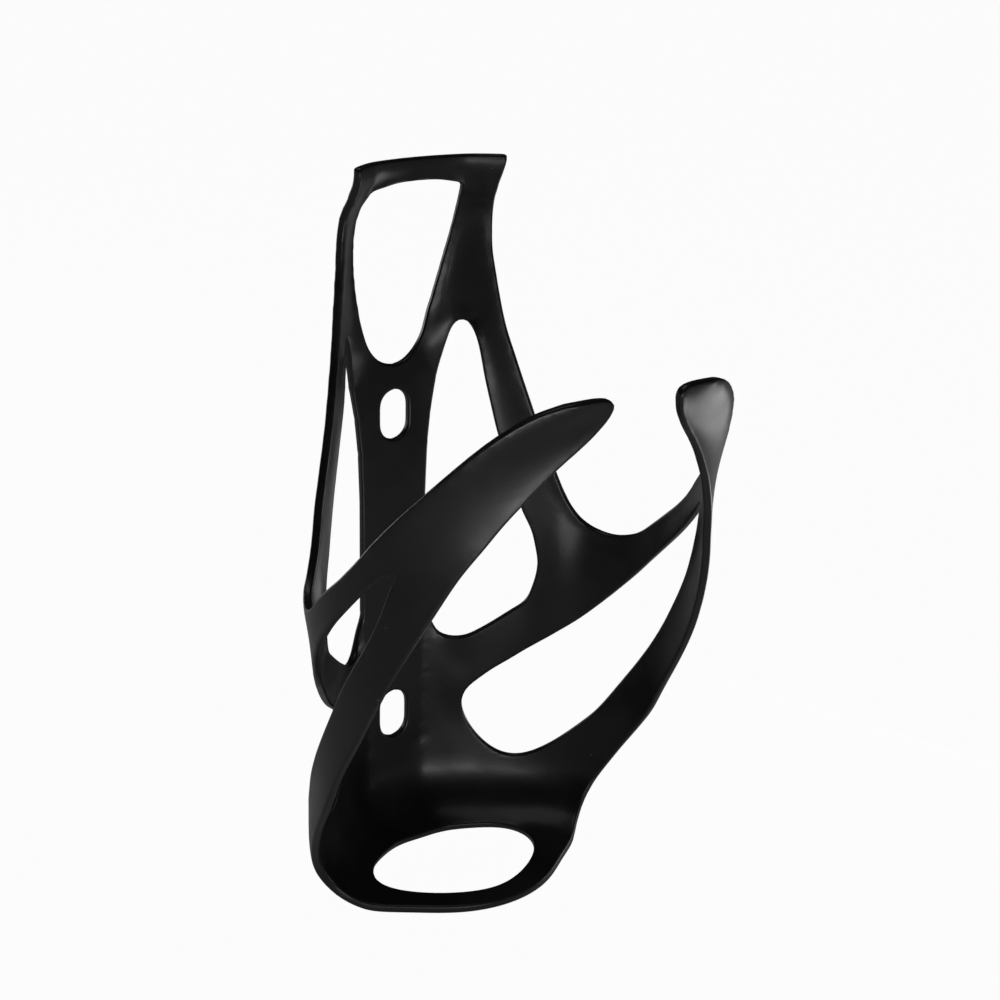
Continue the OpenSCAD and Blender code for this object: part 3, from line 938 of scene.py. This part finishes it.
# ---------------------------------------------------------------- stage
FLOOR_CAMERA_SHARE = 0.97
FLOOR_GLOSSY_SHARE = 0.11
FAR_WHITE = 0.971
WORLD_STRENGTH = 0.02
FLOOR_HALF = 15.0
FLOOR_BELOW = 0.0004
CAGE_MIDDLE = (0, -0.04, 0.0)
FRONT_RIGHT = (0.02, -0.07, 0.045)
FRONT_LEFT = (-0.02, -0.07, 0.045)

# Name, place, aim and size of each lamp, in metres, and the setting that holds its power
LAMPS = (
    ("soft_left", (-0.24, 0.62, 0.06), CAGE_MIDDLE, (0.30, 0.24), "left_light"),
    ("soft_right", (0.13, -0.04, -0.052), FRONT_RIGHT, (0.14, 0.08), "right_light"),
    ("soft_front", (-0.10, -0.28, -0.050), FRONT_LEFT, (0.24, 0.06), "front_light"),
    ("soft_top", (-0.05, 0.10, 0.75), CAGE_MIDDLE, (0.5, 0.22), "top_light"),
)

# The camera: its turn round the cage, lift and roll in degrees, then millimetres to the right, up and away
CAMERA_TURN = -36.28
CAMERA_LIFT = 18.47
CAMERA_ROLL = 1.17
CAMERA_OVER = -1.28
CAMERA_UP = 81.43
CAMERA_AWAY = 367.08
CAMERA_LENS = 72.21


def pale(name, level, camera_level, glossy_level):
    """Pale surface that shows almost white to the camera and keeps a faint shadow."""
    mat = bpy.data.materials.new(name)
    mat.use_nodes = True
    nodes, links = mat.node_tree.nodes, mat.node_tree.links
    shader = nodes["Principled BSDF"]
    shader.inputs["Base Color"].default_value = (level, level, level, 1)
    shader.inputs["Roughness"].default_value = 0.9
    glow = nodes.new("ShaderNodeEmission")
    glow.inputs["Color"].default_value = (1, 1, 1, 1)
    ray = nodes.new("ShaderNodeLightPath")
    shine = nodes.new("ShaderNodeMath")
    shine.operation = "MULTIPLY"
    shine.inputs[1].default_value = glossy_level
    links.new(ray.outputs["Is Glossy Ray"], shine.inputs[0])
    share = nodes.new("ShaderNodeMath")
    share.operation = "MULTIPLY_ADD"
    share.inputs[1].default_value = camera_level
    links.new(ray.outputs["Is Camera Ray"], share.inputs[0])
    links.new(shine.outputs[0], share.inputs[2])
    mix = nodes.new("ShaderNodeMixShader")
    links.new(share.outputs[0], mix.inputs["Fac"])
    links.new(shader.outputs[0], mix.inputs[1])
    links.new(glow.outputs[0], mix.inputs[2])
    links.new(mix.outputs[0], nodes["Material Output"].inputs["Surface"])
    return mat


def soft_light(name, place, aim, size, watts):
    """Area lamp turned towards a place. The camera doesn't see it."""
    data = bpy.data.lights.new(name, "AREA")
    data.shape = "RECTANGLE"
    data.size, data.size_y = size
    data.energy = watts
    lamp = bpy.data.objects.new(name, data)
    lamp.visible_camera = False
    bpy.context.scene.collection.objects.link(lamp)
    lamp.location = Vector(place)
    lamp.rotation_euler = (Vector(aim) - Vector(place)).to_track_quat("-Z", "Y").to_euler()
    return lamp


def white_surround(scene):
    """World that the camera sees as white, and that lights the cage only faintly."""
    world = scene.world or bpy.data.worlds.new("surround")
    scene.world = world
    world.use_nodes = True
    nodes, links = world.node_tree.nodes, world.node_tree.links
    nodes.clear()
    out = nodes.new("ShaderNodeOutputWorld")
    dim = nodes.new("ShaderNodeBackground")
    dim.inputs["Color"].default_value = (1, 1, 1, 1)
    dim.inputs["Strength"].default_value = WORLD_STRENGTH
    white = nodes.new("ShaderNodeBackground")
    white.inputs["Color"].default_value = (FAR_WHITE, FAR_WHITE, FAR_WHITE, 1)
    mix = nodes.new("ShaderNodeMixShader")
    ray = nodes.new("ShaderNodeLightPath")
    links.new(ray.outputs["Is Camera Ray"], mix.inputs["Fac"])
    links.new(dim.outputs[0], mix.inputs[1])
    links.new(white.outputs[0], mix.inputs[2])
    links.new(mix.outputs[0], out.inputs["Surface"])


def place_camera():
    """Camera to the front left, a little above, as the cage is usually shown."""
    a, e, roll = math.radians(CAMERA_TURN), math.radians(CAMERA_LIFT), math.radians(CAMERA_ROLL)
    back = Vector((math.sin(a) * math.cos(e), -math.cos(a) * math.cos(e), math.sin(e)))
    right = Vector((math.cos(a), math.sin(a), 0))
    up = back.cross(right)
    rolled_right = right * math.cos(roll) + up * math.sin(roll)
    rolled_up = -right * math.sin(roll) + up * math.cos(roll)
    where = right * CAMERA_OVER + Vector((0, 0, CAMERA_UP)) + back * CAMERA_AWAY
    where = (where - Vector((0, PLATE_OUT, SLOT_MID))) / 1000
    data = bpy.data.cameras.new("camera")
    data.sensor_width = 36
    data.lens = CAMERA_LENS
    data.clip_start = 0.01
    camera = bpy.data.objects.new("camera", data)
    bpy.context.scene.collection.objects.link(camera)
    turn = Matrix((rolled_right, rolled_up, back)).transposed()
    camera.matrix_world = Matrix.Translation(where) @ turn.to_4x4()
    bpy.context.scene.camera = camera


# ---------------------------------------------------------------- settings
class CageSettings(bpy.types.PropertyGroup):
    """Sizes and finish of the cage that a user would change."""

    mesh_pitch: bpy.props.FloatProperty(
        name="Mesh Pitch", description="Spacing of the points on the skin", default=0.0009, min=0.0004,
        unit="LENGTH")
    edge_radius: bpy.props.FloatProperty(
        name="Edge Radius", description="Radius on the edges of the wall", default=0.00045, min=0.0001,
        max=0.0007, unit="LENGTH")
    carbon_colour: bpy.props.FloatVectorProperty(
        name="Carbon Colour", description="Colour of the moulded carbon", default=(0.0085, 0.0087, 0.0092),
        subtype="COLOR", min=0, max=1)
    roughness: bpy.props.FloatProperty(
        name="Roughness", description="How satin the carbon is", default=0.33, min=0, max=1, subtype="FACTOR")


class StageSettings(bpy.types.PropertyGroup):
    """Lights and floor of the stage."""

    floor_level: bpy.props.FloatProperty(
        name="Floor Level", description="How pale the floor is", default=0.82, min=0, max=1, subtype="FACTOR")
    left_light: bpy.props.FloatProperty(
        name="Left Light", description="Power of the soft light behind on the left", default=0.6, min=0,
        unit="POWER")
    right_light: bpy.props.FloatProperty(
        name="Right Light", description="Power of the low light on the right", default=0.06, min=0,
        unit="POWER")
    front_light: bpy.props.FloatProperty(
        name="Front Light", description="Power of the low strip in front", default=0.24, min=0, unit="POWER")
    top_light: bpy.props.FloatProperty(
        name="Top Light", description="Power of the soft light above", default=0.4, min=0, unit="POWER")


class CAGE_OT_back_plate(bpy.types.Operator):
    """Cuts the slotted back plate from the skin"""

    bl_idname = "cage.back_plate"
    bl_label = "Back Plate"

    def execute(self, context):
        cut_member(context.scene.cage, "back_plate", "shell")
        return {"FINISHED"}


class CAGE_OT_top_lip(bpy.types.Operator):
    """Cuts the lip over the bottle from the skin"""

    bl_idname = "cage.top_lip"
    bl_label = "Top Lip"

    def execute(self, context):
        cut_member(context.scene.cage, "top_lip", "shell")
        return {"FINISHED"}


class CAGE_OT_base(bpy.types.Operator):
    """Cuts the cup and the toe of its floor from the skin"""

    bl_idname = "cage.base"
    bl_label = "Cup and Toe"

    def execute(self, context):
        cut_member(context.scene.cage, "base_cup", "shell")
        cut_member(context.scene.cage, "floor_toe", "shell")
        return {"FINISHED"}


class CAGE_OT_side_frames(bpy.types.Operator):
    """Cuts the legs, struts and bridges from the skin"""

    bl_idname = "cage.side_frames"
    bl_label = "Side Frames"

    def execute(self, context):
        for side in ("left_", "right_"):
            for member in ("leg", "strut", "bridge"):
                cut_member(context.scene.cage, side + member, "shell")
        return {"FINISHED"}


class CAGE_OT_spring_arms(bpy.types.Operator):
    """Cuts the bands and tabs of both spring arms; the tabs are attached to the arms, and the bands are left
    in place, unattached and unbent
    """

    bl_idname = "cage.spring_arms"
    bl_label = "Spring Arms"

    def execute(self, context):
        turn = math.radians(FLEX_A)
        low = (0, 0, (CUP_H - SLOT_MID) / 1000)
        high = (0, 0, (LOW_BEND_TOP - SLOT_MID) / 1000)
        for side, s in (("left", -1), ("right", 1)):
            root = Vector((s * BEND_R * math.sin(turn), BEND_R * math.cos(turn), SLOT_MID))
            along = Vector((s * math.cos(turn), -math.sin(turn), 0)) * BEND_LENGTH
            shift = Vector((0, PLATE_OUT, SLOT_MID))
            start, end = (root - shift) / 1000, (root + along - shift) / 1000
            cut_member(context.scene.cage, side + "_upper_band", side + "_arm", (start, end))
            cut_member(context.scene.cage, side + "_lower_band", side + "_arm", (low, high))
            cut_member(context.scene.cage, side + "_tab", side + "_arm")
        return {"FINISHED"}


class CAGE_OT_stage(bpy.types.Operator):
    """Sets the floor, the soft lights, the white surround and the camera"""

    bl_idname = "cage.stage"
    bl_label = "Stage"

    def execute(self, context):
        settings = context.scene.cage_stage
        mesh = bpy.data.meshes.new("floor")
        s, z = FLOOR_HALF, CAGE_LOW / 1000 - FLOOR_BELOW
        mesh.from_pydata([(-s, -s, z), (s, -s, z), (s, s, z), (-s, s, z)], [], [(0, 1, 2, 3)])
        floor = bpy.data.objects.new("floor", mesh)
        context.scene.collection.objects.link(floor)
        finish = pale("pale_floor", settings.floor_level, FLOOR_CAMERA_SHARE, FLOOR_GLOSSY_SHARE)
        mesh.materials.append(finish)
        for name, place, aim, size, power in LAMPS:
            soft_light(name, place, aim, size, getattr(settings, power))
        white_surround(context.scene)
        context.scene.view_settings.view_transform = "Standard"
        place_camera()
        return {"FINISHED"}


class CAGE_PT_panel(bpy.types.Panel):
    """Lists the sizes, the finish and the steps of the cage"""

    bl_idname = "CAGE_PT_panel"
    bl_label = "Bottle Cage"
    bl_space_type = "VIEW_3D"
    bl_region_type = "UI"
    bl_category = "Bottle Cage"

    def draw(self, context):
        layout = self.layout
        cage, stage = context.scene.cage, context.scene.cage_stage
        for name in ("mesh_pitch", "edge_radius", "carbon_colour", "roughness"):
            layout.prop(cage, name)
        for operator in OPERATORS[:-1]:
            layout.operator(operator.bl_idname)
        for name in ("floor_level", "left_light", "right_light", "front_light", "top_light"):
            layout.prop(stage, name)
        layout.operator(CAGE_OT_stage.bl_idname)


OPERATORS = (
    CAGE_OT_back_plate, CAGE_OT_top_lip, CAGE_OT_base, CAGE_OT_side_frames, CAGE_OT_spring_arms,
    CAGE_OT_stage,
)
CLASSES = (CageSettings, StageSettings) + OPERATORS + (CAGE_PT_panel,)


def register():
    """Adds the settings, operators and panel."""
    for cls in CLASSES:
        bpy.utils.register_class(cls)
    bpy.types.Scene.cage = bpy.props.PointerProperty(type=CageSettings)
    bpy.types.Scene.cage_stage = bpy.props.PointerProperty(type=StageSettings)


def unregister():
    """Takes them away again."""
    del bpy.types.Scene.cage_stage
    del bpy.types.Scene.cage
    for cls in reversed(CLASSES):
        bpy.utils.unregister_class(cls)


def main():
    """Builds the cage and its stage."""
    register()
    bpy.ops.cage.back_plate()
    bpy.ops.cage.top_lip()
    bpy.ops.cage.base()
    bpy.ops.cage.side_frames()
    bpy.ops.cage.spring_arms()
    bpy.ops.cage.stage()


if __name__ == "__main__":
    main()
